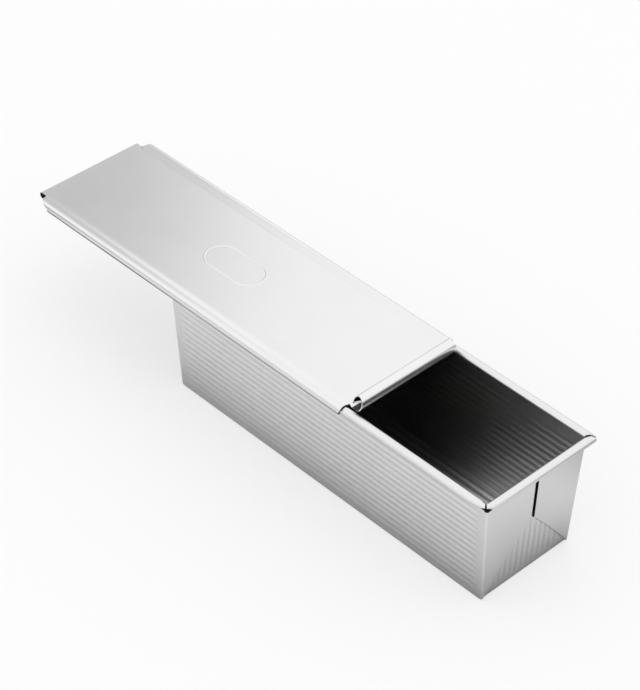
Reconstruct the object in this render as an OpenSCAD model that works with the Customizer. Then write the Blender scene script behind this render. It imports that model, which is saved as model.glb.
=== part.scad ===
// Pullman loaf pan with a slide-on lid, folded from fluted sheet steel.
// +X runs along the pan towards the lid's handle roll, +Z is up.
// The origin is the middle of the flat underside. Millimetres.

/* [Pan] */
// Length inside the walls at the rim
inside_l = 330; // [260:1:400]
// Width inside the walls at the rim
inside_w = 101.6; // [90:0.1:130]
// Height from the table to the top of the end rims
pan_h = 101.9; // [80:0.1:130]
// How much shorter the foot is than the rim's inside, over its two end panels
end_draft = 5.6; // [4:0.1:12]
// How much narrower the foot is than the rim's inside, over its two long walls
side_draft = 9.6; // [5:0.1:14]
// Thickness of the pan's sheet
sheet_t = 0.8; // [0.6:0.05:1.0]

/* [Flutes] */
// Distance from one flute to the next
flute_pitch = 5.9; // [4.8:0.1:7]
// Depth that the flutes are pressed inwards
flute_depth = 0.7; // [0.4:0.05:1.0]
// Plain strip left beside each folded corner
flute_margin = 7; // [5:0.5:12]
// Plain strip left beside the bottom folds and under the long rims
fold_margin = 1.5; // [1:0.1:5]

/* [Rim] */
// Diameter of the rolled rims on the long walls
side_rim_d = 6.8; // [6:0.1:7.4]
// Diameter of the rolled rims on the end panels
end_rim_d = 7; // [6.4:0.1:7.6]
// How much higher the long rims stand than the end rims
side_rim_rise = 1.4; // [1:0.1:2]
// Slack between the rim wires and the bore of the smaller roll
wire_slack = 0.4; // [0.2:0.05:0.6]
// How far the wires end inside the open rolls
wire_recess = 5; // [3:0.5:12]
// Gap of the mitre where two rims meet
mitre_gap = 0.5; // [0.3:0.05:0.9]

/* [Folded corners] */
// Height at which the two folded corners of an end come closest
fold_rise = 54; // [40:1:70]
// Width of the slot between the two folded corners
slot_w = 2.6; // [1.5:0.1:5]

/* [Lid] */
// Thickness of the lid's sheet
lid_t = 0.7; // [0.5:0.05:0.9]
// Running gap between the lid's channels and the long rims
channel_gap = 0.6; // [0.4:0.05:0.8]
// Running gap between the lid's panel and the end rims
panel_gap = 0.3; // [0.25:0.05:0.6]
// Angle that the channel's lip wraps past the underside of the rim
lip_wrap = 14; // [5:1:20]
// Gap between the end stop and the end rim with the lid shut
stop_gap = 0.3; // [0.2:0.05:0.6]
// How far the lid is drawn back from shut, as photographed
lid_open = 150.4; // [0:0.1:300]

/* [Lid ends] */
// Width along the pan of the rolled handle, an upright oval
handle_w = 9.4; // [8:0.1:12]
// Height of the rolled handle over the underside of the lid
handle_h = 12.4; // [9:0.1:15]
// Distance from the end rim to the middle of the handle with the lid shut
handle_reach = 13.7; // [10:0.1:20]
// How much shorter the top of the handle is cut at each end
handle_slant = 3; // [1:0.1:4]
// Diameter of the stop curled down at the other end
stop_d = 5.5; // [5:0.1:7]
// How far the channels run past the rim at the handle end
channel_past = 5.6; // [3:0.1:8]
// How far the channels stop short of the rim at the stop end
channel_short = 5; // [2:0.1:10]
// How much the channels' skirts are cut back, at the handle and at the stop
handle_cut = 3.2; // [0:0.1:8]
stop_cut = 8.5; // [0:0.5:16]

/* [Plaque] */
// Length of the plain raised border on the lid
plaque_l = 60; // [40:1:80]
// Width of the plain raised border on the lid
plaque_w = 30; // [20:1:40]
// Height of the raised border
plaque_h = 0.4; // [0.2:0.05:0.7]
// Width of the raised border's bead
plaque_bead = 1.4; // [1:0.1:2.5]

/* [Hidden] */

// Overrun of cuts past the faces that they open
over = 2;
// Number of straight steps in a full turn of a rolled edge, and of true circles
turn_steps = 30;
$fn = 64;
// Depth that a pressed bar or a folded flap is sunk into its sheet, as a share of the sheet
sink_share = 0.5;
// Height of the flat pressed top of a flute as a share of its pitch, and of its foot
flute_top_share = 0.3;
flute_foot_share = 0.7;
// Angle past the underside at which a rim's roll ends beside its wall
rim_end_angle = 40;
// Angle that the end stop is curled through, from the flat panel
stop_turn = 260;
// Angles at which the handle's roll ends and at which its folded hem meets the roll inside
handle_end_angle = 190;
hem_angle = 62;
// Gap between the tip of the hem and the roll, as a share of the lid's sheet
hem_gap_share = 0.6;
// Angle at which the hump leaves the flat panel and begins to follow the rim
hump_angle = 112;

// Foot over its walls
foot_l = inside_l - end_draft;
foot_w = inside_w - side_draft;

// Centres of the rolled rims
side_rim_r = side_rim_d / 2;
end_rim_r = end_rim_d / 2;
side_rim_y = inside_w / 2 + side_rim_r;
side_rim_z = pan_h + side_rim_rise - side_rim_r;
end_rim_x = inside_l / 2 + end_rim_r;
end_rim_z = pan_h - end_rim_r;
end_rim_out = end_rim_x + end_rim_r;
side_rim_out = side_rim_y + side_rim_r;
wire_r = min(side_rim_r, end_rim_r) - sheet_t - wire_slack / 2;

// Middle of the sheet along a long wall and along an end panel, at a height
function wall_y(z) = foot_w / 2 - sheet_t / 2
    + (inside_w / 2 + sheet_t / 2 - foot_w / 2 + sheet_t / 2) * z / side_rim_z;
function panel_x(z) = foot_l / 2 - sheet_t / 2
    + (inside_l / 2 + sheet_t / 2 - foot_l / 2 + sheet_t / 2) * z / end_rim_z;
panel_lean = atan((panel_x(end_rim_z) - panel_x(0)) / end_rim_z);

// Folded flaps
flap_t = 2 * sheet_t;
flap_top = end_rim_z - end_rim_r;

// Lid levels and places, with the lid shut
panel_z = pan_h + panel_gap + lid_t / 2;
channel_r = side_rim_r + channel_gap + lid_t / 2;
tongue_w = inside_w / 2 - channel_gap;
hump_foot = side_rim_y - side_rim_r - channel_gap - 2 * lid_t;
seam_y = hump_foot - lid_t;
handle_r = [handle_w - lid_t, handle_h - lid_t] / 2;
handle_x = end_rim_out + handle_reach;
handle_z = panel_z + handle_r[1];
stop_r = (stop_d - lid_t) / 2;
stop_x = -end_rim_out - stop_gap - lid_t / 2 - stop_r;
stop_z = panel_z - stop_r;
channel_x0 = -end_rim_out + channel_short;
channel_x1 = end_rim_out + channel_past;

// Polygon of a sheet that follows a line of points, with its thickness about the line
function unit(v) = v / norm(v);
function left_of(v) = [-v[1], v[0]];
function corner(p, i) = let (
        a = left_of(unit(p[max(i, 1)] - p[max(i, 1) - 1])),
        b = left_of(unit(p[min(i, len(p) - 2) + 1] - p[min(i, len(p) - 2)]))
    ) (a + b) / (1 + a * b);
function ribbon(p, t) = concat(
    [for (i = [0 : len(p) - 1]) p[i] + corner(p, i) * t / 2],
    [for (i = [len(p) - 1 : -1 : 0]) p[i] - corner(p, i) * t / 2]);

// Points on an arc from one angle to another, round or with two half axes
function oval(r, angle) = is_list(r) ? [r[0] * cos(angle), r[1] * sin(angle)] : r * [cos(angle), sin(angle)];
function arc(c, r, from, to) = let (n = ceil(abs(to - from) * turn_steps / 360))
    [for (i = [0 : n]) c + oval(r, from + (to - from) * i / n)];
function flip(p) = [for (q = p) [-q[0], q[1]]];
function turned(p) = [for (i = [len(p) - 1 : -1 : 0]) p[i]];

// Flutes that fit each face, an even number on the bottom so that its middle stays flat
wall_top = side_rim_z - side_rim_r;
wall_flutes = floor((wall_top - 2 * fold_margin) / flute_pitch);
bottom_flutes = 2 * floor((foot_w / 2 - fold_margin) / flute_pitch);
end_flutes = 2 * floor((foot_w / 2 - flute_margin) / flute_pitch);

// Inward shift of a row of pressed flutes about a middle, as four points for each flute
function flute_marks(middle, count) = [for (i = [0 : count - 1], k = [0 : 3])
    let (half = (k == 0 || k == 3 ? flute_foot_share : flute_top_share) / 2)
    [middle + (i + (1 - count) / 2 + (k < 2 ? -half : half)) * flute_pitch, k == 1 || k == 2 ? flute_depth : 0]];

// Half of the pan's cross-section, from the middle of the bottom to the end of the rim's roll
function bottom_line(fluted) = [for (m = fluted ? flute_marks(0, bottom_flutes) : []) if (m[0] > 0)
    [m[0], sheet_t / 2 + m[1]]];
function wall_line(fluted) = [for (m = fluted ? flute_marks(wall_top / 2, wall_flutes) : [])
    [wall_y(m[0]) - m[1], m[0]]];
side_roll = arc([side_rim_y, side_rim_z], side_rim_r - sheet_t / 2, 180, -90 - rim_end_angle);
function half_section(fluted) = concat(bottom_line(fluted), [[wall_y(0), sheet_t / 2]],
    wall_line(fluted), side_roll);
function pan_section(fluted) = concat(turned(flip(half_section(fluted))), half_section(fluted));

// Sheet extruded along X from a section drawn in Y and Z
module along_x(x0, x1) {
    translate([x0, 0, 0]) rotate([90, 0, 90]) linear_extrude(height = x1 - x0) children();
}

// Sheet extruded along Y over a width centred on the pan, from a section drawn in X and Z
module along_y(width) {
    translate([0, width / 2, 0]) rotate([90, 0, 0]) linear_extrude(height = width) children();
}

module each_quarter() {
    for (sx = [0, 1], sy = [0, 1]) mirror([sx, 0, 0]) mirror([0, sy, 0]) children();
}

module each_end() {
    for (sx = [0, 1]) mirror([sx, 0, 0]) children();
}

// Bottom, long walls and long rims, one bent run of the sheet
module trough() {
    flute_x = foot_l / 2 - flute_margin;
    reach = end_rim_out + over;
    top = side_rim_z + side_rim_d;
    intersection() {
        union() {
            along_x(-flute_x, flute_x) polygon(ribbon(pan_section(true), sheet_t));
            for (sx = [-1, 1]) along_x(min(sx * flute_x, sx * reach), max(sx * flute_x, sx * reach))
                polygon(ribbon(pan_section(false), sheet_t));
        }
        along_y(2 * (side_rim_out + over)) polygon([
            [-panel_x(-over), -over], [panel_x(-over), -over],
            [panel_x(side_rim_z), side_rim_z], [reach, side_rim_z], [reach, top],
            [-reach, top], [-reach, side_rim_z], [-panel_x(side_rim_z), side_rim_z]]);
    }
}

// One end panel with its rolled rim, before its flutes
module end_panel() {
    line = concat([[panel_x(0), 0]],
        arc([end_rim_x, end_rim_z], end_rim_r - sheet_t / 2, 180, -90 - rim_end_angle));
    reach = side_rim_out + over;
    intersection() {
        along_y(2 * reach) polygon(ribbon(line, sheet_t));
        along_x(0, end_rim_out + over) polygon([
            [-wall_y(0), 0], [wall_y(0), 0],
            [wall_y(end_rim_z), end_rim_z], [reach, end_rim_z], [reach, pan_h + over],
            [-reach, pan_h + over], [-reach, end_rim_z], [-wall_y(end_rim_z), end_rim_z]]);
    }
}

// Prism that runs up an end panel, drawn across it in Y and outwards
module up_panel(z0, z1) {
    translate([panel_x(0), 0, 0]) rotate([0, panel_lean, 0]) translate([0, 0, z0])
        linear_extrude(height = z1 - z0) children();
}

// Pressed bars of the end panel's flutes, on its inside or as grooves on its outside
module panel_flutes(grow) {
    foot = flute_foot_share * flute_pitch / 2;
    top = flute_top_share * flute_pitch / 2;
    for (i = [0 : end_flutes - 1]) {
        y = (i + (1 - end_flutes) / 2) * flute_pitch;
        up_panel(sheet_t + fold_margin, flap_top - fold_margin) polygon([
            [grow + sheet_t * sink_share, y - foot], [grow, y - foot], [grow - flute_depth, y - top],
            [grow - flute_depth, y + top], [grow, y + foot], [grow + sheet_t * sink_share, y + foot]]);
    }
}

// Folded corner of doubled sheet, lying flat on the outside of an end panel
module flap() {
    inner = slot_w / 2;
    side = sheet_t * sink_share / 2;
    translate([panel_x(0), 0, 0]) rotate([0, panel_lean, 0]) rotate([90, 0, 90])
        linear_extrude(height = sheet_t / 2 + flap_t) polygon([
            [wall_y(0) + side, sheet_t], [wall_y(flap_top) + side, flap_top],
            [inner, flap_top], [inner, fold_rise]]);
}

// Far side of the mitre line, which each roll is cut back to
module mitre_wedge(first, out) {
    run = end_rim_out - inside_l / 2;
    rise = side_rim_out - inside_w / 2;
    line = unit([run, rise]);
    side = -out * mitre_gap / 2 * left_of(line);
    a = [inside_l / 2, inside_w / 2] - over * line + side;
    b = [end_rim_out, side_rim_out] + over * line + side;
    translate([0, 0, first]) linear_extrude(height = pan_h)
        polygon([a, b, b + out * left_of(line) * (run + rise), a + out * left_of(line) * (run + rise)]);
}

// The pan: fluted trough, two end panels and four folded corners, one sheet on the real thing
module pan_sheet() {
    color("gainsboro") union() {
        difference() {
            trough();
            each_quarter() mitre_wedge(side_rim_z - side_rim_r - mitre_gap, -1);
        }
        each_end() {
            difference() {
                union() {
                    end_panel();
                    panel_flutes(-sheet_t / 2);
                }
                panel_flutes(sheet_t / 2);
                for (sy = [0, 1]) mirror([0, sy, 0]) mitre_wedge(end_rim_z - end_rim_r - mitre_gap, 1);
            }
            for (sy = [0, 1]) mirror([0, sy, 0]) flap();
        }
    }
}

// Straight wires inside the four rolled rims
module side_wire(side) {
    half = inside_l / 2 - wire_recess;
    color("silver") translate([-half, side * side_rim_y, side_rim_z]) rotate([0, 90, 0])
        cylinder(h = 2 * half, r = wire_r);
}

module end_wire(side) {
    half = inside_w / 2 - wire_recess;
    color("silver") translate([side * end_rim_x, half, end_rim_z]) rotate([90, 0, 0])
        cylinder(h = 2 * half, r = wire_r);
}

// Flat panel of the lid with the handle rolled up at one end and the stop curled down at the other
module lid_panel() {
    // Hem folded into the handle, from its back to the inside of its upper front
    hem_from = oval(handle_r, handle_end_angle);
    hem_to = oval(handle_r - (1 + hem_gap_share) * lid_t * [1, 1], hem_angle);
    handle_c = [handle_x, handle_z];
    reach = side_rim_out + over;
    lid_top = handle_z + handle_r[1] + lid_t;
    intersection() {
        along_y(2 * tongue_w) union() {
            polygon(ribbon(concat(
                turned(arc([stop_x, stop_z], stop_r, 90, 90 + stop_turn)),
                arc(handle_c, handle_r, -90, handle_end_angle)), lid_t));
            polygon(ribbon([handle_c + hem_from, handle_c + hem_to], 2 * lid_t));
        }
        union() {
            along_x(stop_x - stop_d, channel_x1 + lid_t) polygon([
                [-seam_y, 0], [seam_y, 0], [seam_y, lid_top], [-seam_y, lid_top]]);
            for (run = [[stop_x - stop_d, channel_x0 + stop_cut], [channel_x1, handle_x + handle_w]])
                along_x(run[0], run[1]) polygon([
                    [-reach, 0], [reach, 0], [reach, panel_z], [tongue_w, panel_z],
                    [tongue_w - handle_slant, lid_top],
                    [-tongue_w + handle_slant, lid_top], [-tongue_w, panel_z], [-reach, panel_z]]);
        }
    }
}

// Raised hump and wrapped channel along one long edge of the lid
module lid_channel() {
    line = concat([[seam_y, panel_z], [hump_foot, panel_z]],
        arc([side_rim_y, side_rim_z], channel_r, hump_angle, -90 - lip_wrap));
    low = side_rim_z - channel_r - lid_t;
    high = side_rim_z + channel_r + lid_t;
    intersection() {
        along_x(channel_x0, channel_x1) polygon(ribbon(line, lid_t));
        along_y(2 * (side_rim_out + over)) polygon([
            [channel_x0, high], [channel_x0 + stop_cut, side_rim_z], [channel_x0 + stop_cut, low],
            [channel_x1 - handle_cut, low], [channel_x1, panel_z], [channel_x1, high]]);
    }
}

// Plain raised border, bare inside
module plaque() {
    outer_r = plaque_w / 2;
    inner_r = outer_r - plaque_bead;
    run = plaque_l / 2 - outer_r;
    translate([0, 0, panel_z]) linear_extrude(height = lid_t / 2 + plaque_h) difference() {
        union() {
            square([2 * run, 2 * outer_r], center = true);
            for (s = [-1, 1]) translate([s * run, 0]) circle(r = outer_r);
        }
        union() {
            square([2 * run, 2 * inner_r], center = true);
            for (s = [-1, 1]) translate([s * run, 0]) circle(r = inner_r);
        }
    }
}

// The lid, one sheet that slides along the long rims
module lid_sheet() {
    color("whitesmoke") translate([-lid_open, 0, 0]) union() {
        lid_panel();
        for (sy = [0, 1]) mirror([0, sy, 0]) lid_channel();
        plaque();
    }
}

pan_sheet();
side_wire(-1);  // rim_wire_front
side_wire(1);  // rim_wire_back
end_wire(1);  // rim_wire_handle_end
end_wire(-1);  // rim_wire_stop_end
lid_sheet();
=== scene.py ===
"""Dressed model of a pullman loaf pan with a slide-on lid, folded from satin sheet steel.

Lengths in the classes are millimetres and meshes are metres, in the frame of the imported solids:
+X runs towards the lid's handle, +Z is up, and the origin is the middle of the underside.
"""

from __future__ import annotations

import logging
import math
from collections.abc import Callable
from dataclasses import dataclass, field
from enum import IntEnum

import bpy
import numpy as np
from mathutils import Matrix, Vector

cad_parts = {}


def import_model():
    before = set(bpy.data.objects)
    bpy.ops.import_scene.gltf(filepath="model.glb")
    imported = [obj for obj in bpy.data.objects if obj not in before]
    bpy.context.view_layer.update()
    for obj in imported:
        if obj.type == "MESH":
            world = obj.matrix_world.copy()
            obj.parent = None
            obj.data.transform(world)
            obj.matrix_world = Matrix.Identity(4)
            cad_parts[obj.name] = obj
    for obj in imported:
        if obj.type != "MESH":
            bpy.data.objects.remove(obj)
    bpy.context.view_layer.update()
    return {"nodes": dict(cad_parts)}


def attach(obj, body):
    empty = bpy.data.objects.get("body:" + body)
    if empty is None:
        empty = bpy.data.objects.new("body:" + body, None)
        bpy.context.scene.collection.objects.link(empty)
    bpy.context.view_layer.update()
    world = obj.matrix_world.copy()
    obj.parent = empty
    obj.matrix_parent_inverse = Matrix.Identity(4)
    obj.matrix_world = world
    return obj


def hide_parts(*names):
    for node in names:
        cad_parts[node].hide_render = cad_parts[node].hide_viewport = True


LOG = logging.getLogger("loaf_pan")
MM = 0.001
# Folds sharper than this are shaded as edges
SHARP_ANGLE = math.radians(42.0)
# Cosines of a flute's phase at which its shoulder starts and ends
SHOULDER = (-0.8, 0.9)
# Most of a side that the curve at a rounded corner takes
CORNER_SHARE = 0.45
# Lengths below this count as nothing
TINY = 1e-9
Array = np.ndarray
Triple = tuple[float, float, float]


class FinishSlot(IntEnum):
    """Which of a piece's finishes a face gets."""

    OUTSIDE = 0
    INSIDE = 1
    # Near black: painted shade in the slot, notches, creases, cut edges and the rims' insides
    PAINTED_SHADE = 2
    # Lighter inside of the bottom: painted light, with painted shade in its middle
    PAINTED_LIGHT_BOTTOM = 3


# Curves and surfaces


def smooth(x: Array | float, low: float, high: float) -> Array:
    """Cubic step that rises from 0 at low to 1 at high."""
    t = np.clip((np.asarray(x, float) - low) / (high - low), 0.0, 1.0)
    return t * t * (3.0 - 2.0 * t)


def spread(*parts: tuple[float, float, int]) -> Array:
    """Joins runs, each a start, an end and a number of even steps, into one list of places."""
    runs = [np.linspace(a, b, n, endpoint=False) for a, b, n in parts]
    return np.concatenate([*runs, [parts[-1][1]]])


def close_ends(low: float, high: float, run: float, fine: int, steps: int) -> Array:
    """Places from low to high, in fine steps over the length run at both ends and steps between."""
    return spread((low, low + run, fine), (low + run, high - run, steps), (high - run, high, fine))


def arc(
    centre: tuple[float, float], radii: tuple[float, float], start: float, stop: float, steps: int
) -> Array:
    """Points of an ellipse's arc: centre + (rx cos t, ry sin t), with t in degrees, start to stop."""
    t = np.radians(np.linspace(start, stop, steps + 1))
    return np.stack([centre[0] + radii[0] * np.cos(t), centre[1] + radii[1] * np.sin(t)], axis=1)


def bent(line: Array, radius: float, steps: int) -> Array:
    """Rounds the corners of a line of points.

    Each corner gives way to a quadratic curve that starts and ends on its two sides, at a distance
    of radius or at the most that a side allows.

    Args:
        line: Corner points, one row each.
        radius: How far from the corner the curve starts.
        steps: Number of straight steps of each curve.

    Returns:
        The points of the rounded line.
    """
    out = [line[:1]]
    t = np.linspace(0.0, 1.0, steps + 1)[:, None]
    for before, here, after in zip(line[:-2], line[1:-1], line[2:]):
        a, b = (here + way * min(radius / np.linalg.norm(way), CORNER_SHARE)
                for way in (before - here, after - here))
        out.append((1 - t) ** 2 * a + 2 * t * (1 - t) * here + t**2 * b)
    out.append(line[-1:])
    return np.concatenate(out)


def flutes(at: Array, count: int, pitch: float) -> Array:
    """Height from 0 to 1 of a row of flutes about 0: a cubic step of the cosine of the phase."""
    wave = -np.cos(2 * math.pi * (at / pitch + count / 2))
    return smooth(wave, *SHOULDER) * (np.abs(at) < count * pitch / 2)


@dataclass
class Sheets:
    """Closed thin sheets that make up one mesh.

    A sheet is a grid of points on the middle of its thickness. Its two faces are that grid moved
    half the thickness along the normal, the cross product of the grid's two directions, and strips
    close the edges.
    """

    points: list[Array] = field(default_factory=list)
    quads: list[Array] = field(default_factory=list)
    slots: list[Array] = field(default_factory=list)
    total: int = 0

    def _take(self, points: Array, quads: Array, slot: int | Array) -> None:
        """Adds points and quads.

        Args:
            points: New points.
            quads: Corners of the faces, counted from the first new point.
            slot: Material of the faces, one for all or one for each.
        """
        self.points.append(points.reshape(-1, 3))
        self.quads.append(quads.reshape(-1, 4) + self.total)
        self.slots.append(np.broadcast_to(slot, len(quads.reshape(-1, 4))))
        self.total += len(self.points[-1])

    def add(
        self, grid: Array, thick: float, front: int | Array = 0, back: int | Array = 0, edge: int = 0
    ) -> None:
        """Adds one sheet.

        Args:
            grid: Points on the middle of the sheet, by row and column.
            thick: Thickness in millimetres.
            front: Material of the face on the normal's side, one for all or one for each quad.
            back: Material of the other face.
            edge: Material of the strips that close the edges.
        """
        normal = np.cross(np.gradient(grid, axis=0), np.gradient(grid, axis=1))
        normal /= np.maximum(np.linalg.norm(normal, axis=2, keepdims=True), TINY)
        rows, cols = grid.shape[:2]
        top = np.arange(rows * cols).reshape(rows, cols)
        low = top + rows * cols
        face = np.stack([top[:-1, :-1], top[1:, :-1], top[1:, 1:], top[:-1, 1:]], axis=-1).reshape(-1, 4)
        edges = []
        for side in (np.s_[0], np.s_[-1, ::-1], np.s_[::-1, 0], np.s_[:, -1]):
            t, b = top[side], low[side]
            edges.append(np.stack([t[:-1], t[1:], b[1:], b[:-1]], axis=-1))
        quads = np.concatenate([face, face[:, ::-1] + rows * cols, *edges])
        slots = np.full(len(quads), edge)
        slots[:len(face)] = np.ravel(front)
        slots[len(face):2 * len(face)] = np.ravel(back)
        both = np.stack([grid + normal * thick / 2, grid - normal * thick / 2])
        self._take(both, quads, slots)

    def add_ring(self, grid: Array) -> None:
        """Adds a tube that closes on itself both ways, in the outer finish.

        Args:
            grid: Points of its skin, with no repeated row or column.
        """
        rows, cols = grid.shape[:2]
        i = np.arange(rows * cols).reshape(rows, cols)
        j, k = np.roll(i, -1, axis=0), np.roll(i, -1, axis=1)
        self._take(grid, np.stack([i, j, np.roll(j, -1, axis=1), k], axis=-1), FinishSlot.OUTSIDE)

    def piece(
        self, name: str, body: str, finishes: list[bpy.types.Material], replaces: str, slot: str
    ) -> bpy.types.Object:
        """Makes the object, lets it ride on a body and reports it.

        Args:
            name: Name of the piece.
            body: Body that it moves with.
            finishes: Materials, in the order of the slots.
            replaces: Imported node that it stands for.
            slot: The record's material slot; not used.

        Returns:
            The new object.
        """
        points = np.concatenate(self.points) * MM
        quads = np.concatenate(self.quads)
        mesh = bpy.data.meshes.new(name)
        mesh.from_pydata(points.tolist(), [], quads.tolist())
        for finish in finishes:
            mesh.materials.append(finish)
        mesh.polygons.foreach_set("material_index", np.concatenate(self.slots).astype(np.int32))
        mesh.polygons.foreach_set("use_smooth", np.ones(len(quads), bool))
        mesh.set_sharp_from_angle(angle=SHARP_ANGLE)
        mesh.update()
        made = bpy.data.objects.new(name, mesh)
        bpy.context.scene.collection.objects.link(made)
        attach(made, body)
        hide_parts(replaces)
        LOG.info("%s: %d points, %d faces on %s", name, len(points), len(quads), body)
        return made


# The pan


@dataclass
class FlutedPan:
    """The pan: one folded sheet, with flutes pressed inwards and four rolled rims."""

    # Sizes inside the rims, how much shorter and narrower the foot is, and the sheet
    inside_l: float = 330.0
    inside_w: float = 101.6
    height: float = 101.9
    end_draft: float = 5.6
    side_draft: float = 9.6
    sheet: float = 0.8
    # Flutes: pitch, steps of each, depths, and the margins that stay plain
    pitch: float = 5.9
    samples: int = 8
    wall_depth: float = 0.24
    bottom_depth: float = 0.5
    end_depth: float = 0.32
    flute_margin: float = 7.0
    fold_margin: float = 1.5
    # How far the long walls' flutes lie below the middle, and where from the corner they rise
    flute_drop: float = 1.8
    flute_rise: tuple[float, float] = (2.5, 12.0)
    # Over what length an end panel's flutes fade, and how far before the panel's foot and rim
    end_rise: float = 6.0
    end_lead: float = 1.0
    # Rows are close to each other this near the corner, this near an end panel's foot and rim, and
    # over these shares of half a long or short rim
    fine_run: float = 16.0
    fine_foot: float = 6.0
    fine_rim: float = 12.0
    fine_side: float = 0.1
    fine_end: float = 0.3
    # Folds, the band that turns onto an end panel, and the run of the step down to the end rim
    bend: float = 1.1
    flap_bend: float = 1.1
    band: float = 3.0
    step_run: float = 0.6
    # Flaps: height of the fold at the slot, the slot, the strip of painted shade past it, and the gap in a
    # ply
    fold_rise: float = 54.0
    slot_w: float = 3.1
    slot_shift: float = 0.9
    slot_past: tuple[float, float] = (0.6, 0.5)
    layer_gap: float = 0.08
    # Notches of painted shade under the corners of the rims, the share of a flap below its close rows,
    # and the power that crowds its other rows at the fold
    notch_end: float = 6.2
    notch_side: float = 4.6
    notch_z: float = 92.3
    notch_from: float = 0.94
    crowding: float = 1.5
    # Rims: diameters, height of the long ones over the others, last angle, its steps, and gaps at
    # the mitres
    side_rim_d: float = 6.8
    end_rim_d: float = 7.0
    side_rise: float = 1.4
    roll_end: float = -130.0
    roll_steps: int = 40
    mitre_gap: float = 0.5
    tight_gap: float = 1.2
    # How far a roll's underside is cut back at a tight end, and the angles over which that grows
    cut_back: float = 3.6
    cut_turn: tuple[float, float] = (-40.0, 10.0)
    plain_share: float = 0.3
    plain_turn: tuple[float, float] = (5.0, 60.0)
    # How much thinner a roll is at a tight end, over which lengths, and how it rises or sinks
    taper: float = 0.2
    taper_run: float = 16.0
    pinch: float = 0.24
    pinch_run: float = 5.0
    pinch_lift: float = 0.3
    rim_sink: float = 1.2

    def __post_init__(self) -> None:
        """Starts the mesh and works out the places that the sizes give."""
        self.mesh = Sheets()
        half = self.sheet / 2
        self.side_r, self.end_r = self.side_rim_d / 2, self.end_rim_d / 2
        self.side_y = self.inside_w / 2 + self.side_r
        self.side_z = self.height + self.side_rise - self.side_r
        self.end_x = self.inside_l / 2 + self.end_r
        self.end_z = self.height - self.end_r
        self.half_l = (self.inside_l - self.end_draft) / 2 - half
        self.half_w = (self.inside_w - self.side_draft) / 2 - half
        self.wall_flutes = int((self.side_z - self.side_r - 2 * self.fold_margin) // self.pitch)
        self.bottom_flutes = 2 * int((self.half_w + half - self.fold_margin) // self.pitch)
        self.end_flutes = 2 * int((self.half_w + half - self.flute_margin) // self.pitch)
        self.flute_mid = (self.side_z - self.side_r) / 2 - self.flute_drop

    def lean_x(self, z: Array) -> Array:
        """Growth of the length with height: straight from the foot to the end rims."""
        return 1 + (self.inside_l / 2 + self.sheet / 2 - self.half_l) / self.half_l * z / self.end_z

    def lean_y(self, z: Array) -> Array:
        """Growth of the width with height: straight from the foot to the long rims."""
        return 1 + (self.inside_w / 2 + self.sheet / 2 - self.half_w) / self.half_w * z / self.side_z

    def rounded(self, sharp: Array, press: Array) -> Array:
        """Turns points on a sharp box into points on the folded tub.

        The box's edges become folds: a point moves to the distance bend from its nearest point of
        the box shrunk by bend. It then moves inwards by press, and the walls lean outwards.

        Args:
            sharp: Points on a box with upright walls.
            press: Inward shift of each point.

        Returns:
            Points on the middle of the sheet.
        """
        low = np.array([-self.half_l + self.bend, -self.half_w + self.bend, self.sheet / 2 + self.bend])
        high = np.array([self.half_l - self.bend, self.half_w - self.bend, math.inf])
        core = np.clip(sharp, low, high)
        out = sharp - core
        out /= np.maximum(np.linalg.norm(out, axis=-1, keepdims=True), TINY)
        p = core + out * (self.bend - press[..., None])
        x, y, z = np.moveaxis(p, -1, 0)
        return np.stack([x * self.lean_x(z), y * self.lean_y(z), z], axis=-1)

    def notch(self, away: Array, reach: float, top: float) -> Array:
        """Depth of the notch of painted shade below a rim's underside, top: a quarter ellipse to reach away.
        """
        return np.sqrt(np.clip(1 - (away / reach) ** 2, 0, 1)) * (top - self.notch_z)

    def fluted_places(self, middle: float, count: int) -> Array:
        """Places across a row of flutes, samples of them for each flute."""
        half = count * self.pitch / 2
        return np.linspace(middle - half, middle + half, count * self.samples + 1)

    def girth(self) -> tuple[Array, Array]:
        """Half of the sharp section, from the middle of the bottom up a long wall.

        Returns:
            Places in Y and Z on the sharp box.
        """
        b, foot, top = self.half_w, self.sheet / 2, self.side_z
        wall = self.fluted_places(self.flute_mid, self.wall_flutes)
        bottom = self.fluted_places(0.0, self.bottom_flutes)
        bottom = bottom[bottom >= 0]
        fold = spread((bottom[-1], b - self.bend, 2), (b - self.bend, b, 4))[1:-1]
        rise = spread((foot, foot + self.bend, 4), (foot + self.bend, wall[0], 1))[:-1]
        last = spread((wall[-1], top, 6))[1:]
        y = np.concatenate([bottom, fold, np.full(len(rise) + len(wall) + len(last), b)])
        z = np.concatenate([np.full(len(bottom) + len(fold), foot), rise, wall, last])
        return y, z

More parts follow.
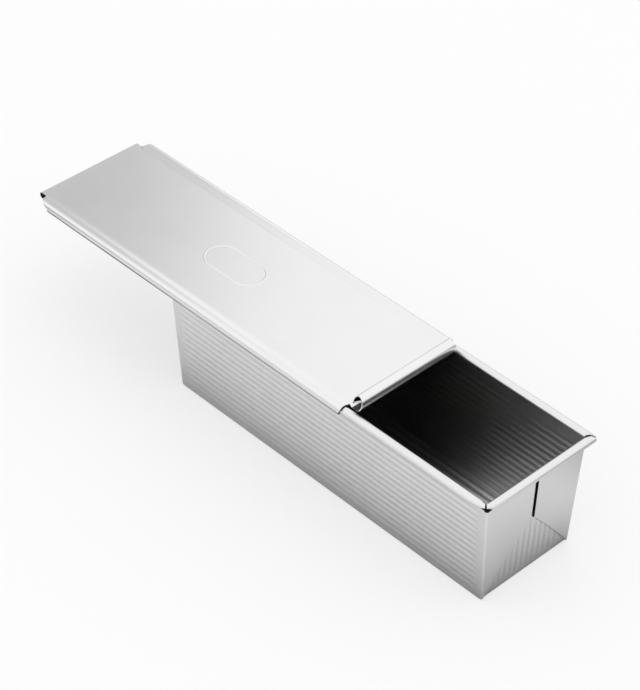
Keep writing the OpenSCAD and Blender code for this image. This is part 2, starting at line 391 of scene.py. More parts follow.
    def add_tub(self) -> None:
        """Bottom, long walls and the bent bands round both end panels, as one grid.

        Columns follow the section, a U. Rows go along the pan, and past each end they turn the fold
        and run inwards over the end panel, square to the U.
        """
        y_half, z_half = self.girth()
        y = np.concatenate([-y_half[:0:-1], y_half])
        z = np.concatenate([z_half[:0:-1], z_half])
        on_wall = np.abs(y) > self.half_w - TINY
        on_floor = z < self.sheet / 2 + TINY
        a = self.half_l
        body = close_ends(-a + self.bend, a - self.bend, self.fine_run - self.bend, 12, 12)
        turn = spread((0.0, self.bend, 5), (self.bend, 2 * self.bend, 5),
                      (2 * self.bend, self.bend + self.band, 1))[1:]
        run = np.concatenate([-turn[::-1], np.zeros(len(body)), turn])
        x = np.concatenate([np.full(len(turn), body[0]), body, np.full(len(turn), body[-1])])
        x = x + np.minimum(np.abs(run), self.bend) * np.sign(run)
        over = np.maximum(np.abs(run) - self.bend, 0.0)
        ys = y - np.outer(over, np.sign(y) * on_wall)
        zs = z + np.outer(over, on_floor)
        xs = np.broadcast_to(x[:, None], ys.shape)
        top = self.side_z + (self.end_z - self.side_z) * smooth(over, 0.0, self.step_run)
        zs = zs * (top / self.side_z)[:, None]
        wall = flutes(z - self.flute_mid, self.wall_flutes, self.pitch)
        floor = flutes(y, self.bottom_flutes, self.pitch)
        press = np.where(on_wall, wall * self.wall_depth, floor * self.bottom_depth)
        tub = self.rounded(np.stack([xs, ys, zs], axis=-1), press * smooth(a - np.abs(xs), *self.flute_rise))
        under = self.side_z - self.side_r
        depth = self.notch(a - np.abs(xs), self.notch_side, under)
        # Below the corners of the long rims the outer face is painted shade, and so are the tub's edges
        painted_notch = (under - zs < depth) & on_wall & (depth > 0)
        painted_notch = painted_notch[:-1, :-1] & painted_notch[1:, 1:]
        # The inside of the bottom gets its own lighter finish: painted light
        inside = np.where(on_floor[:-1] & on_floor[1:], FinishSlot.PAINTED_LIGHT_BOTTOM, FinishSlot.INSIDE)
        self.mesh.add(tub, self.sheet, np.broadcast_to(inside, painted_notch.shape),
                      np.where(painted_notch, FinishSlot.PAINTED_SHADE, 0), FinishSlot.PAINTED_SHADE)

    def add_end_panel(self, side: int) -> None:
        """Flat middle of an end panel, with upright flutes that fade at their ends.

        The columns stay parallel under the flutes, and the outermost follow the leaning corner. The
        strip that shows through the slot between the flaps is painted shade.

        Args:
            side: Which end, as the sign of X.
        """
        edge = self.half_w - self.band
        row = self.fluted_places(0.0, self.end_flutes)
        spare = np.linspace(row[-1], edge, 4)[1:]
        y = np.concatenate([-spare[::-1], row, spare])
        foot, under = self.sheet / 2 + self.band, self.end_z - self.end_r
        low, high = foot + self.fine_foot, self.end_z - self.fine_rim
        z = spread((foot, low, 8), (low, high, 8), (high, self.end_z, 10))
        grow = (self.lean_y(z) - 1) * edge
        ys = y + np.outer(grow, smooth(np.abs(y), row[-1], edge) * np.sign(y))
        start, stop = foot - self.end_lead, under - self.end_lead
        keep = smooth(z, start, start + self.end_rise) * (1 - smooth(z, stop - self.end_rise, stop))
        press = flutes(ys, self.end_flutes, self.pitch) * keep[:, None] * self.end_depth
        xs = self.half_l * self.lean_x(z)[:, None] - press
        zs = np.broadcast_to(z[:, None], ys.shape)
        # The strip behind the slot is painted shade
        beside, below = self.slot_past
        slot = (np.abs(ys - self.slot_shift) < self.slot_w / 2 + beside) & (zs > self.fold_rise - below)
        self.mesh.add(np.stack([side * xs, side * ys, zs], axis=-1), self.sheet, FinishSlot.INSIDE,
                      np.where(slot[:-1, :-1], FinishSlot.PAINTED_SHADE, 0))

    def add_flap(self, side: int, hand: int) -> None:
        """Folded corner: a doubled triangle of sheet that lies on the outside of an end panel.

        One direction crosses the flap, from the wall round the corner to the slot. The other goes
        down the inner layer, round the sloping fold in a half circle, and up the outer layer. Rows
        and columns are closer where the notch of painted shade is. The notch, the crease along the
        fold and the edges are painted shade.

        Args:
            side: Which end, as the sign of X.
            hand: Which side of the end, as the sign of Y.
        """
        ply = self.sheet
        near, far = self.end_z - self.end_r, self.slot_w / 2 + self.slot_shift * side * hand
        fine = self.notch_from
        rise = np.linspace(0, 1, 14)[:-1] ** self.crowding * fine
        rise = np.concatenate([rise, np.linspace(fine, 1, 9)])
        level = np.concatenate([rise[::-1], np.zeros(7), rise])
        around = np.linspace(-90, 90, 9)[1:-1]
        turn = np.concatenate([np.full(len(rise), -90.0), around, np.full(len(rise), 90.0)])
        # The inner layer lies one ply out from the end panel, the outer layer two
        shift = ply * (1.5 + 0.5 * np.sin(np.radians(turn)))
        drop = ply / 2 * np.cos(np.radians(turn))
        far_x, far_y = self.half_l + shift, self.half_w - (2 * ply - shift)
        radius = self.flap_bend - (2 * ply - shift)
        start = self.half_l - self.bend * (shift / ply - 1)
        folded, notched = (1.0 + size / self.half_w for size in (self.flap_bend, self.notch_end))
        u = spread((0.0, 1.0, 5), (1.0, folded, 6), (folded, notched, 8), (notched, 2.0, 12))
        on_strip, across = np.minimum(u, 1.0), np.maximum(u - 1.0, 0.0)
        xs = start[:, None] + np.outer(far_x - start, on_strip)
        ys = far_y[:, None] + np.outer(far - far_y, across)
        cx = np.minimum(xs, (far_x - radius)[:, None])
        cy = np.minimum(ys, (far_y - radius)[:, None])
        dx, dy = xs - cx, ys - cy
        size = np.maximum(np.hypot(dx, dy), TINY)
        xs, ys = cx + dx / size * radius[:, None], cy + dy / size * radius[:, None]
        low = ply * 2 + (self.fold_rise - ply * 2) * across
        z = low + np.outer(level, near - low) - drop[:, None]
        grid = np.stack([side * xs * self.lean_x(z), hand * ys * self.lean_y(z), z], axis=-1)
        # The notch under the end rim is painted shade on both faces of the flap
        painted_notch = near - z < self.notch(across * self.half_w, self.notch_end, near)
        # The crease along the fold is painted shade on both faces
        fold_row = (level[:-1] + level[1:] == 0) & (turn[:-1] < 0)
        crease_shade = np.logical_and.outer(fold_row, across[:-1] > 0)
        dark = np.where(painted_notch[:-1, :-1] | crease_shade, FinishSlot.PAINTED_SHADE, 0)
        self.mesh.add(grid, ply - self.layer_gap, dark, dark, FinishSlot.PAINTED_SHADE)

    def roll(
        self, along: Array, mitre: float, radius: float, centre: tuple[float, float], tight: int, sink: float
    ) -> Array:
        """Rolled rim in its own frame: along the rim, outwards, upwards.

        The section is an arc from the wall over the top and round below, and each row ends on the
        mitre line. Towards the rim's tight end the section grows smaller, by cubic steps of the
        distance from the mitre, and its underside ends early, which leaves the roll open there.

        Args:
            along: Places along the rim, from -1 to 1.
            mitre: Half length of the rim where it starts outwards from the wall.
            radius: Radius of the middle of the sheet.
            centre: Middle of the roll, outwards and upwards.
            tight: Which end is tight, as the sign of along.
            sink: How much lower the tight end lies.

        Returns:
            Grid of points.
        """
        turn = np.linspace(180.0, self.roll_end, self.roll_steps + 1)
        cos, sin = np.cos(np.radians(turn)), np.sin(np.radians(turn))
        tight_end = (along * tight > 0)[:, None]
        tip = radius * (1 - (self.taper + self.pinch) * tight_end)
        plain_cut = self.plain_share * smooth(-turn, *self.plain_turn)
        under = self.cut_back * np.where(tight_end, smooth(-turn, *self.cut_turn), plain_cut)
        gap = np.where(tight_end, self.tight_gap, self.mitre_gap) / math.sqrt(2.0)
        place = along[:, None] * (mitre + tip * (1 + cos) - gap - under)
        left = np.maximum(mitre - np.abs(place), 0.0)
        near, close = (tight_end * (1 - smooth(left, 0.0, run)) for run in (self.taper_run, self.pinch_run))
        small = radius * (1 - self.taper * near - self.pinch * close)
        outs = centre[0] - radius + small * (1 + cos)
        ups = centre[1] + (radius - small) * self.pinch_lift - sink * close + small * sin
        return np.stack([place, outs, ups], axis=-1)

    def add_rims(self) -> None:
        """The four rolled rims, bevelled towards each other at the corners."""
        half = self.sheet / 2
        along = close_ends(-1.0, 1.0, self.fine_side, 14, 12)
        place = (self.side_y, self.side_z)
        rim = self.roll(along, self.inside_l / 2 + half, self.side_r - half, place, 1, self.rim_sink)
        along = close_ends(-1.0, 1.0, self.fine_end, 14, 8)
        place = (self.end_x, self.end_z)
        end = self.roll(along, self.inside_w / 2 + half, self.end_r - half, place, -1, 0.0)
        for s in (-1, 1):
            # The inner face of each roll's curl is painted shade
            self.mesh.add(rim * [s, -s, 1], self.sheet, FinishSlot.PAINTED_SHADE)
            self.mesh.add(end[..., [1, 0, 2]] * [s, s, 1], self.sheet, FinishSlot.PAINTED_SHADE)

    def build(self, finishes: list[bpy.types.Material]) -> bpy.types.Object:
        """Makes the pan's piece.

        Args:
            finishes: Finishes of the outside, the inside, the painted shade, and the inside of the bottom
                with its painted light.

        Returns:
            The object.
        """
        self.add_tub()
        for side in (-1, 1):
            self.add_end_panel(side)
            for hand in (-1, 1):
                self.add_flap(side, hand)
        self.add_rims()
        return self.mesh.piece("pan_folded_sheet", "pan", finishes, "pan_sheet", "pan_steel")


# The lid


@dataclass
class SlidingLid:
    """The lid: a flat sheet whose edges rise over the long rims and wrap them."""

    pan: FlutedPan
    sheet: float = 0.7
    # How far it is drawn back at rest
    drawn_back: float = 150.4
    # Gaps to the long rims, above the end rims and at the stop
    channel_gap: float = 0.6
    panel_gap: float = 0.3
    stop_gap: float = 0.3
    # Channels: angles where the hump starts and the lip ends, steps of the wrap and how many of them
    # the hump's foot replaces, and power that squares the outside
    hump_angle: float = 112.0
    lip_wrap: float = 14.0
    wrap_steps: int = 34
    foot_steps: int = 3
    squareness: float = 0.75
    # How far the channels pass the handle end and stop short of the other, and their skirts' cuts
    channel_past: float = 5.6
    channel_short: float = 5.0
    handle_cut: float = 3.2
    stop_cut: float = 8.5
    # Root of the hump: how far it runs on at the stop end, its rounding, and where the hollow starts
    root_run: float = 4.0
    foot_run: float = 4.0
    foot_bend: float = 3.0
    foot_past: float = 1.0
    # Share of the length over which rows are close at each end
    fine_run: float = 0.06
    # Length over which the panel widens to a handle or stop, and steps across these
    flare: float = 1.5
    row_steps: int = 12
    # Handle: size, reach past the rim, how much each side slants in, and its oval's end and steps
    handle_w: float = 9.4
    handle_h: float = 12.4
    handle_reach: float = 13.7
    handle_slant: float = 3.0
    handle_end: float = 197.0
    handle_steps: int = 44
    lead_in: float = 1.5
    # Hem inside the handle, its inset and tip in thicknesses of the sheet
    hem_angle: float = 42.0
    hem_inset: float = 1.6
    hem_gap: float = 0.03
    hem_tip: float = 0.4
    hem_bend: float = 0.5
    # Stop: diameter, last angle, and the first of its strips that is painted shade inside
    stop_d: float = 5.5
    stop_end: float = 350.0
    stop_dark: int = 6
    # Border: length, width, height, width of its bead, and how far the bead sinks in
    plaque_l: float = 60.0
    plaque_w: float = 30.0
    plaque_h: float = 0.4
    plaque_bead: float = 1.8
    plaque_sink: float = 0.02

    def __post_init__(self) -> None:
        """Starts the mesh and works out the places that the sizes give."""
        self.mesh = Sheets()
        pan, t = self.pan, self.sheet
        rim_out = pan.end_x + pan.end_r
        self.level = pan.height + self.panel_gap + t / 2
        self.wrap_r = pan.side_r + self.channel_gap + t / 2
        self.tongue = pan.inside_w / 2 - self.channel_gap
        self.foot_y = pan.inside_w / 2 - self.channel_gap - 2 * t
        self.handle_r = ((self.handle_w - t) / 2, (self.handle_h - t) / 2)
        self.handle_x = rim_out + self.handle_reach - self.drawn_back
        self.handle_z = self.level + self.handle_r[1]
        self.stop_r = (self.stop_d - t) / 2
        self.stop_x = -rim_out - self.stop_gap - t / 2 - self.stop_r - self.drawn_back
        self.x0 = -rim_out + self.channel_short - self.drawn_back
        self.x1 = rim_out + self.channel_past - self.drawn_back

    def add_panel(self) -> None:
        """Flat panel with its humps and channels: a section in Y and Z, carried along X.

        The channels' skirts are cut back at both ends, sloping at the stop end.
        """
        pan = self.pan
        wrap = arc((0.0, 0.0), (1.0, 1.0), self.hump_angle, -90 - self.lip_wrap, self.wrap_steps)
        square = np.where(wrap[:, :1] > 0, self.squareness, 1.0)
        wrap = np.sign(wrap) * np.abs(wrap) ** square * self.wrap_r + [pan.side_y, pan.side_z]
        flat_y, foot_y, level = self.foot_y - self.foot_run, self.foot_y, self.level
        first, wrap = wrap[0], wrap[self.foot_steps:]
        foot = bent(np.array([[flat_y, level], [foot_y, level], first, wrap[0]]), self.foot_bend, 6)
        flat = np.linspace((0.0, level), (flat_y, level), 12)
        half = np.concatenate([flat[:-1], foot[:-1], wrap])
        y, z = np.concatenate([half[:0:-1] * [-1, 1], half]).T
        high, low = pan.side_z + self.wrap_r, pan.side_z - self.wrap_r
        out = np.abs(y)
        cut = np.clip((high - z) / (high - pan.side_z), 0, 1) * (out > pan.side_y)
        cut = np.maximum(cut, z < pan.side_z)
        on_hump = (out <= pan.side_y) & (out > foot_y) & (z > level)
        root = (high - z) / (high - level) * on_hump * smooth(out, foot_y, foot_y + self.foot_past)
        start = self.x0 + self.stop_cut * cut - self.root_run * root
        stop = self.x1 - self.handle_cut * np.clip((level - z) / (level - low), 0, 1)
        along = close_ends(0.0, 1.0, self.fine_run, 6, 20)
        x = start + np.outer(along, stop - start)
        # The underside of each hump and the panel's edges are painted shade
        hollow = np.where(np.abs(y[:-1] + y[1:]) / 2 > foot_y + self.foot_past, FinishSlot.INSIDE, 0)
        back = np.broadcast_to(hollow, (len(along) - 1, len(hollow)))
        grid = np.stack([x, np.broadcast_to(y, x.shape), np.broadcast_to(z, x.shape)], axis=-1)
        self.mesh.add(grid, self.sheet, 0, back, FinishSlot.INSIDE)

    def handle_line(self) -> Array:
        """Section of the handle in X and Z: an upright oval, then a hem folded back inside it.

        Returns:
            Points of the middle of the sheet, one row each.
        """
        c = np.array([self.handle_x, self.handle_z])
        roll = arc(tuple(c), self.handle_r, -90, self.handle_end, self.handle_steps)
        t = self.sheet
        at = math.radians(self.hem_angle)
        tip = c + (np.array(self.handle_r) - self.hem_inset * t) * [math.cos(at), math.sin(at)]
        way = (tip - roll[-1]) / np.linalg.norm(tip - roll[-1])
        side = np.array([-way[1], way[0]]) * (t / 2 + self.hem_gap)
        root, ahead = roll[-1] + way * t, way * t * self.hem_tip
        hem = np.array([roll[-1], root - side, tip - side, tip + ahead, tip + side, root + side + way * t])
        places = (self.x1, self.handle_x - self.handle_r[0], self.handle_x - self.lead_in)
        panel = np.stack([places, np.full(3, self.level)], axis=1)
        return np.concatenate([panel, roll, bent(hem, self.hem_bend, 4)[1:]])

    def carried(self, x: Array, z: Array, half: Array, way: int) -> Array:
        """Section in X and Z carried across the lid: each point becomes a row of its half width.

        Args:
            x: Places of the section along the lid.
            z: Heights of the section.
            half: Half width of each row.
            way: Direction of the rows, as the sign of Y.

        Returns:
            Grid of points.
        """
        y = np.outer(half, np.linspace(-way, way, self.row_steps + 1))
        x, z = (np.broadcast_to(place[:, None], y.shape) for place in (x, z))
        return np.stack([x, y, z], axis=-1)

    def add_handle(self) -> None:
        """Handle: its section carried across the lid, narrower towards the top."""
        x, z = self.handle_line().T
        top = self.handle_z + self.handle_r[1] + self.sheet
        half = self.tongue - self.handle_slant * np.clip((z - self.level) / (top - self.level), 0, 1)
        narrow = (1 - smooth(x, self.x1, self.x1 + self.flare)) * (z < self.level + TINY)
        half = half - (self.tongue - self.foot_y) * narrow
        # The inside of the handle's oval is painted shade
        inside = np.zeros((len(x) - 1, self.row_steps), int)
        inside[1:3 + self.handle_steps] = FinishSlot.INSIDE
        self.mesh.add(self.carried(x, z, half, 1), self.sheet, inside)

    def add_stop(self) -> None:
        """End stop: the panel curled down and back under itself."""
        curl = arc((self.stop_x, self.level - self.stop_r), (self.stop_r, self.stop_r), 90, self.stop_end, 30)
        panel = [[self.x0, self.level], [self.x0 - self.flare, self.level]]
        x, z = np.concatenate([panel, curl]).T
        half = self.tongue - (self.tongue - self.foot_y) * (1 - smooth(self.x0 - x, 0.0, self.flare))
        # The inside of the curl and the edges are painted shade
        inside = np.zeros((len(x) - 1, self.row_steps), int)
        inside[self.stop_dark:] = FinishSlot.INSIDE
        self.mesh.add(self.carried(x, z, half, -1), self.sheet, 0, inside, FinishSlot.INSIDE)

    def add_border(self) -> None:
        """Plain raised border, bare inside: a low bead carried round a long oval.

        The bead's height is one cosine wave across it, and its underside lies inside the sheet.
        """
        bead = self.plaque_bead / 2
        run = (self.plaque_l - self.plaque_w) / 2
        t = np.linspace(0, 2 * math.pi, 96, endpoint=False)
        out = np.stack([np.cos(t), np.sin(t)], axis=1)
        shift = np.sign(out[:, :1]) * (np.abs(out[:, :1]) > TINY) * [run, 0.0]
        middle = out * (self.plaque_w / 2 - bead) + shift
        s = np.linspace(-1, 1, 13)
        top = self.sheet / 2 + self.plaque_h * (0.5 + 0.5 * np.cos(math.pi * s)) - self.plaque_sink
        offset = np.concatenate([s, s[::-1]]) * bead
        rise = np.concatenate([top, np.zeros(len(s))])
        plan = middle[:, None, :] + out[:, None, :] * offset[None, :, None]
        height = np.broadcast_to((self.level + rise)[None, :, None], (*plan.shape[:2], 1))
        self.mesh.add_ring(np.concatenate([plan, height], axis=-1)[::-1] + [-self.drawn_back, 0, 0])

    def build(self, finishes: list[bpy.types.Material]) -> bpy.types.Object:
        """Makes the lid's piece.

        Args:
            finishes: Finishes of the sheet and of the painted shade inside its rolls.

        Returns:
            The object.
        """
        self.add_panel()
        self.add_handle()
        self.add_stop()
        self.add_border()
        return self.mesh.piece("lid_folded_sheet", "lid", finishes, "lid_sheet", "lid_steel")


# Finishes


class Wire:
    """A node's output, on which arithmetic adds Math nodes."""

    def __init__(self, nodes: Nodes, socket: bpy.types.NodeSocket) -> None:
        """Keeps the socket and the tree that it is in."""
        self.nodes, self.socket = nodes, socket

    def _math(self, operation: str, *values: Wire | float) -> Wire:
        """Adds a Math node."""
        return self.nodes.add("ShaderNodeMath", {"operation": operation}, dict(enumerate(values)))

    def __add__(self, other: Wire | float) -> Wire:
        """Sum."""
        return self._math("ADD", self, other)

    def __sub__(self, other: Wire | float) -> Wire:
        """Difference."""
        return self._math("SUBTRACT", self, other)

    def __rsub__(self, other: float) -> Wire:
        """Difference from a number."""
        return self._math("SUBTRACT", other, self)

    def __mul__(self, other: Wire | float) -> Wire:
        """Product."""
        return self._math("MULTIPLY", self, other)

    __radd__ = __add__
    __rmul__ = __mul__


class Nodes:
    """Node tree of a material or world."""

    def __init__(self, tree: bpy.types.NodeTree) -> None:
        """Empties the tree."""
        self.tree = tree
        tree.nodes.clear()

    def add(
        self, kind: str, settings: dict | None = None, values: dict | None = None, output: int | str = 0
    ) -> Wire:
        """Adds a node.

        Args:
            kind: Type of the node.
            settings: Attributes, set first.
            values: Numbers or wires for its sockets, by name or place.
            output: Which output to return.

        Returns:
            The chosen output.
        """
        node = self.tree.nodes.new(kind)
        for key, value in (settings or {}).items():
            setattr(node, key, value)
        for key, value in (values or {}).items():
            if isinstance(value, Wire):
                self.tree.links.new(value.socket, node.inputs[key])
            else:
                node.inputs[key].default_value = value
        return Wire(self, node.outputs[output] if node.outputs else None)

    def noise(self, at: Wire, scale: float, detail: float, rough: float) -> Wire:
        """Noise from 0 to 1 at points."""
        values = {"Vector": at, "Scale": scale, "Detail": detail, "Roughness": rough}
        return self.add("ShaderNodeTexNoise", None, values)

    def vector(self, operation: str, *values: Wire | Triple, output: int | str = 0) -> Wire:
        """Adds a Vector Math node."""
        return self.add("ShaderNodeVectorMath", {"operation": operation}, dict(enumerate(values)), output)

    def part(self, at: Wire, axis: int) -> Wire:
        """One coordinate of points: 0 for X, 1 for Y and 2 for Z."""
        return self.add("ShaderNodeSeparateXYZ", None, {0: at}, axis)

    def step(self, value: Wire, low: float, high: float) -> Wire:
        """Cubic step that rises from 0 at low to 1 at high, or falls if high is the lower."""
        return self.add("ShaderNodeMapRange", {"interpolation_type": "SMOOTHSTEP"}, {
            "Value": value, "From Min": low, "From Max": high, "To Min": 0.0, "To Max": 1.0})

    def blend(self, share: Wire | float, a: tuple | Wire, b: tuple | Wire) -> Wire:
        """Mix of two colours."""
        return self.add("ShaderNodeMix", {"data_type": "RGBA"}, {0: share, 6: a, 7: b}, 2)


def grey(tone: float) -> Triple:
    """Neutral colour."""
    return (tone, tone, tone)


@dataclass(frozen=True)
class PaintedMiddleShade:
    """Painted shade that darkens a sheet towards the middle of the pan: full up to dark metres from the
    middle, none from clear on.

    Where it is full, the share keep of the sheet's own colour is left.
    """

    keep: float
    dark: float
    clear: float
    tone: float = 0.02

    def share(self, nodes: Nodes, at: Wire) -> Wire:
        """Share of the dark tone at points: a cubic step of the distance from the middle along X."""
        away = nodes.add("ShaderNodeMath", {"operation": "ABSOLUTE"}, {0: nodes.part(at, 0)})
        return (1.0 - nodes.step(away, self.dark, self.clear)) * (1.0 - self.keep)


@dataclass(frozen=True)
class PaintedLipShade:
    """Painted shade along the lid's lower lip: full below low metres, none above high.

    Its strength rises from least to 1 as X falls through the two places of along.
    """

    low: float
    high: float
    along: tuple[float, float] = (-0.12, -0.22)
    least: float = 0.6
    tone: float = 0.12

    def share(self, nodes: Nodes, at: Wire) -> Wire:
        """Share of the dark tone at points: a cubic step of the height times one of X."""
        strength = self.least + (1.0 - self.least) * nodes.step(nodes.part(at, 0), *self.along)
        return (1.0 - nodes.step(nodes.part(at, 2), self.low, self.high)) * strength


@dataclass(frozen=True)
class SteelFinish:
    """Satin sheet steel with a rolling grain, faint cloudy spots and, where given, painted shade."""

    name: str
    light: Triple
    dull: Triple
    roughness: float
    metallic: float = 1.0
    specular: float = 0.5
    # Painted shade, where given
    painted_darkening: PaintedMiddleShade | PaintedLipShade | None = None
    # Stretch of the grain, and scale, detail and roughness of each noise
    grain: Triple = (60.0, 1500.0, 1500.0)
    grain_noise: Triple = (1.0, 4.0, 0.6)
    cloud_noise: Triple = (22.0, 3.0, 0.55)
    fine_noise: Triple = (420.0, 2.0, 0.5)
    # Share of the clouds in the colour, what cloud, grain and fine noise add to the roughness, and
    # the bump: its strength, height in metres and share of the fine noise
    cloud_share: float = 0.7
    mottle: Triple = (0.05, 0.05, 0.02)
    bump_strength: float = 0.05
    bump_height: float = 0.00004
    bump_fine: float = 0.5

    def make(self) -> bpy.types.Material:
        """Makes the material.

        The rolling grain is noise stretched along the sheet. Slow noise adds cloudy spots, and the
        two choose a colour between dull and light. Both and a fine noise shift the roughness, and
        grain and fine noise give a bump.

        Returns:
            The material.
        """
        made = bpy.data.materials.new(self.name)
        made.use_nodes = True
        nodes = Nodes(made.node_tree)
        at = nodes.add("ShaderNodeTexCoord", output="Object")
        grain = nodes.noise(nodes.vector("MULTIPLY", at, self.grain), *self.grain_noise)
        cloud, fine = (nodes.noise(at, *noise) for noise in (self.cloud_noise, self.fine_noise))
        share = cloud * self.cloud_share + grain * (1.0 - self.cloud_share)
        colour = nodes.blend(share, (*self.dull, 1.0), (*self.light, 1.0))
        # Painted shade darkens the colour where given
        if self.painted_darkening:
            colour = nodes.blend(self.painted_darkening.share(nodes, at), colour, (*grey(self.painted_darkening.tone), 1.0))
        cloudy, grainy, speckled = self.mottle
        rough = self.roughness + (cloud - 0.5) * cloudy + (grain - 0.5) * grainy + (fine - 0.5) * speckled
        relief = grain + fine * self.bump_fine
        bump = nodes.add("ShaderNodeBump", None, {
            "Strength": self.bump_strength, "Distance": self.bump_height, "Height": relief})
        shader = nodes.add("ShaderNodeBsdfPrincipled", None, {
            "Base Color": colour, "Metallic": self.metallic, "Roughness": rough, "Normal": bump,
            "Specular IOR Level": self.specular})
        nodes.add("ShaderNodeOutputMaterial", None, {"Surface": shader})
        return made


# Stage, lamp and camera


@dataclass(frozen=True)
class Studio:
    """White floor, soft lamp, even surroundings and the camera."""

    # Camera: focal length and picture height in pixels, then the turn, a rotation vector, and the
    # shift, in millimetres, that take a point of the pan into the camera's frame
    focal: float = 2491.85
    frame_h: float = 690.0
    clip: tuple[float, float] = (0.1, 50.0)
    turn: Triple = (2.1097, 0.9111, -0.4129)
    shift: Triple = (36.835, 87.957, 1910.17)
    # Floor: half its size, its tone for the lamp, and its tones in reflections, beside the pan and
    # past the places in Y and X over which the second takes over; the darker tones in reflections
    # are painted shade
    floor_size: float = 12.0
    floor_colour: float = 0.91
    floor_mirrored: float = 0.80
    floor_behind: float = 0.45
    behind: tuple[float, float] = (0.07, 0.15)
    beyond: tuple[float, float] = (-0.38, -0.50)
    # Tone of the even paper that the camera sees, and how much of what it sees is that
    paper: float = 0.945
    paper_share: float = 0.55
    # Painted shadow that reflections see on the floor at the pan's foot: how dark, more with X, and
    # how far that reaches
    dim: float = 0.52
    dim_grade: float = 0.5
    dim_reach: float = 0.027
    dim_foot: Triple = (0.162, 0.046, 0.0)
    # Strength of the surroundings
    sky: float = 1.09
    # Card: its place in X, height of its foot, tone, and for three edges where it starts and is full
    card_x: float = -0.574
    card_foot: float = 0.002
    card_tone: float = 0.605
    card_left: tuple[float, float] = (-0.256, 0.038)
    card_right: tuple[float, float] = (0.507, 0.213)
    card_top: tuple[float, float] = (0.744, 0.450)
    lamp_place: Triple = (0.1, 0.1, 2.4)
    lamp_size: float = 1.6
    lamp_power: float = 3.6

    def camera(self) -> None:
        """Places the camera from its turn and shift, whose frame has Y down and Z ahead."""
        data = bpy.data.cameras.new("camera")
        data.lens = self.focal * data.sensor_width / self.frame_h
        data.clip_start, data.clip_end = self.clip
        made = bpy.data.objects.new("camera", data)
        axis = Vector(self.turn)
        turn = Matrix.Rotation(axis.length, 3, axis.normalized())
        back = turn.transposed()
        place = -(back @ Vector(self.shift)) * MM
        flip = Matrix(((1, 0, 0), (0, -1, 0), (0, 0, -1)))
        made.matrix_world = Matrix.Translation(place) @ (back @ flip).to_4x4()
        bpy.context.scene.collection.objects.link(made)
        bpy.context.scene.camera = made

    def flat(self, name: str, corners: list[Triple], shade: Callable[[Nodes, Wire], Wire]) -> None:
        """Adds a flat four-sided part of the stage.

        Args:
            name: Name of the object and of its material.
            corners: Its four corners in metres.
            shade: Makes its shader from the tree and the points.
        """
        mesh = bpy.data.meshes.new(name)
        mesh.from_pydata(corners, [], [(0, 1, 2, 3)])
        material = bpy.data.materials.new(name)
        material.use_nodes = True
        nodes = Nodes(material.node_tree)
        shader = shade(nodes, nodes.add("ShaderNodeTexCoord", output="Object"))
        nodes.add("ShaderNodeOutputMaterial", None, {"Surface": shader})
        mesh.materials.append(material)
        made = bpy.data.objects.new(name, mesh)
        bpy.context.scene.collection.objects.link(made)

    def floor(self, nodes: Nodes, at: Wire) -> Wire:
        """Shader of the floor.

        The camera sees part of it as even white paper and part as lit, with its shadow. Metal sees
        painted shade on it: darker behind the pan and past its far end, and darker still close to the
        pan, a painted shadow that falls off as an exponential of the distance from the pan's foot.

        Args:
            nodes: The material's tree.
            at: Points of the floor.

        Returns:
            The shader.
        """
        # Painted shadow of the pan on the floor, which only reflections see
        past = nodes.vector("SUBTRACT", nodes.vector("ABSOLUTE", at), self.dim_foot)
        away = nodes.vector("LENGTH", nodes.vector("MAXIMUM", past, grey(0.0)), output="Value")
        fall = nodes.add("ShaderNodeMath", {"operation": "EXPONENT"}, {0: away * (-1 / self.dim_reach)})
        near = fall * (self.dim + self.dim_grade * nodes.part(at, 0))
        ray = nodes.add("ShaderNodeLightPath", output="Is Glossy Ray")
        # Painted shade in reflections behind the pan and past its far end
        behind = nodes.step(nodes.part(at, 1), *self.behind)
        beyond = nodes.step(nodes.part(at, 0), *self.beyond)
        either = behind + beyond - behind * beyond
        plain, mirrored, shaded, dark = ((*grey(tone), 1.0) for tone in (
            self.floor_colour, self.floor_mirrored, self.floor_behind, 0.0))
        tone = nodes.blend(near * ray, nodes.blend(ray, plain, nodes.blend(either, mirrored, shaded)), dark)
        lit = nodes.add("ShaderNodeBsdfDiffuse", None, {"Color": tone})
        white = nodes.add("ShaderNodeEmission", None, {"Color": (*grey(self.paper), 1.0)})
        seen = nodes.add("ShaderNodeLightPath", output="Is Camera Ray") * self.paper_share
        return nodes.add("ShaderNodeMixShader", None, {0: seen, 1: lit, 2: white})

    def card(self, nodes: Nodes, at: Wire) -> Wire:
        """Shader of the grey card past the lid's far end, which only reflections see.

        It covers the surroundings fully in its middle and less and less towards its edges, by the
        product of cubic steps in Y and Z.

        Args:
            nodes: The material's tree.
            at: Points of the card.

        Returns:
            The shader.
        """
        cover = nodes.add("ShaderNodeLightPath", output="Is Glossy Ray")
        for axis, edge in ((1, self.card_left), (1, self.card_right), (2, self.card_top)):
            cover = cover * nodes.step(nodes.part(at, axis), *edge)
        white = (*grey(1.0), 1.0)
        empty = nodes.add("ShaderNodeBsdfTransparent", None, {"Color": white})
        glow = {"Color": white, "Strength": self.sky * self.card_tone}
        tinted = nodes.add("ShaderNodeEmission", None, glow)
        return nodes.add("ShaderNodeMixShader", None, {0: cover, 1: empty, 2: tinted})

    def world(self) -> None:
        """Even white surroundings."""
        world = bpy.data.worlds.new("surroundings")
        world.use_nodes = True
        nodes = Nodes(world.node_tree)
        sky = nodes.add("ShaderNodeBackground", None, {"Color": (*grey(1.0), 1.0), "Strength": self.sky})
        nodes.add("ShaderNodeOutputWorld", None, {"Surface": sky})
        bpy.context.scene.world = world

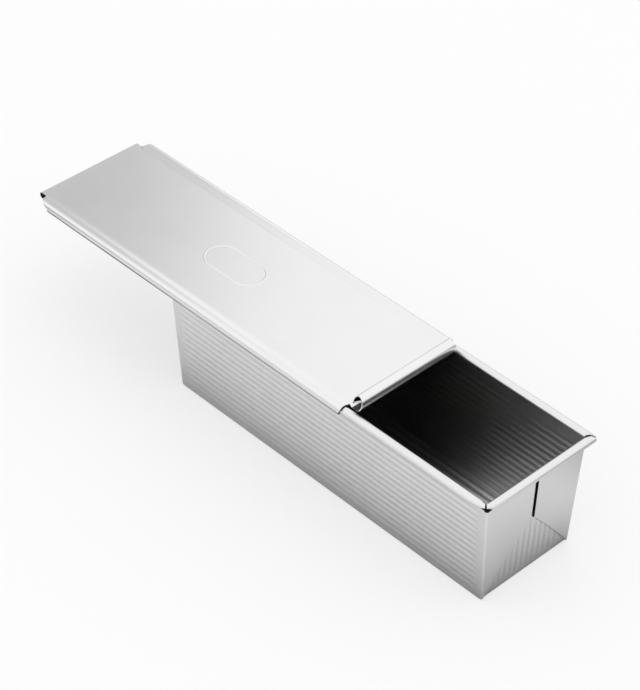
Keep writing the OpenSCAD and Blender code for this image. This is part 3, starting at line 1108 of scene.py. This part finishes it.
    def lamp(self) -> None:
        """Square soft lamp that faces the pan and isn't seen in reflections."""
        data = bpy.data.lights.new("top_softbox", "AREA")
        data.size, data.energy = self.lamp_size, self.lamp_power
        made = bpy.data.objects.new("top_softbox", data)
        made.visible_glossy = False
        made.location = self.lamp_place
        made.rotation_mode = "QUATERNION"
        made.rotation_quaternion = (-Vector(self.lamp_place)).to_track_quat("-Z", "Y")
        bpy.context.scene.collection.objects.link(made)

    def build(self) -> None:
        """Sets up the stage."""
        self.world()
        size, x, foot = self.floor_size, self.card_x, self.card_foot
        corners = [(-size, -size, 0.0), (size, -size, 0.0), (size, size, 0.0), (-size, size, 0.0)]
        self.flat("floor", corners, self.floor)
        left, right, top = self.card_left[0], self.card_right[0], self.card_top[0]
        corners = [(x, left, foot), (x, right, foot), (x, right, top), (x, left, top)]
        self.flat("card", corners, self.card)
        self.lamp()
        self.camera()
        bpy.context.scene.view_settings.view_transform = "Standard"


def dress_wires(finish: bpy.types.Material, nodes: dict[str, bpy.types.Object]) -> None:
    """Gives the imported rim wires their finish.

    Args:
        finish: The wires' material.
        nodes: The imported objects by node.
    """
    for name, node in nodes.items():
        if name.startswith("rim_wire"):
            node.data.materials.clear()
            node.data.materials.append(finish)
            LOG.info("%s: packed wire in %s", name, finish.name)


def main() -> None:
    """Builds the pan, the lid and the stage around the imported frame."""
    logging.basicConfig(level=logging.INFO, format="%(name)s %(message)s")
    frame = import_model()
    outside = SteelFinish("pan_satin_steel", grey(0.82), (0.73, 0.73, 0.735), 0.30)
    # The inside is darker than the outside and has painted shade in its middle
    inside = SteelFinish("pan_inside_painted_shade", grey(0.59), grey(0.53), 0.36, painted_darkening=PaintedMiddleShade(0.45, 0.0, 0.11))
    # The bottom's inside is lighter, painted light, with painted shade in its middle
    bottom = SteelFinish("pan_bottom_painted_light_and_shade", grey(0.93), grey(0.85), 0.42, painted_darkening=PaintedMiddleShade(0.28, 0.03, 0.10))
    # Near black painted shade for gaps, notches, creases and hollows
    painted_black = SteelFinish("seam_shadow", grey(0.012), grey(0.006), 0.6, metallic=0.0, specular=0.05)
    # The lid has painted shade along its lower lip
    sheet = SteelFinish("lid_satin_steel", grey(0.855), grey(0.778), 0.26, painted_darkening=PaintedLipShade(0.0983, 0.0998))
    # Painted shade inside the lid's rolls
    rolled = SteelFinish("roll_inside_painted_shade", grey(0.10), grey(0.07), 0.5)
    wire = SteelFinish("drawn_wire", grey(0.6), grey(0.5), 0.35)
    pan = FlutedPan()
    pan.build([finish.make() for finish in (outside, inside, painted_black, bottom)])
    SlidingLid(pan).build([sheet.make(), rolled.make()])
    dress_wires(wire.make(), frame["nodes"])
    Studio().build()


if __name__ == "__main__":
    main()
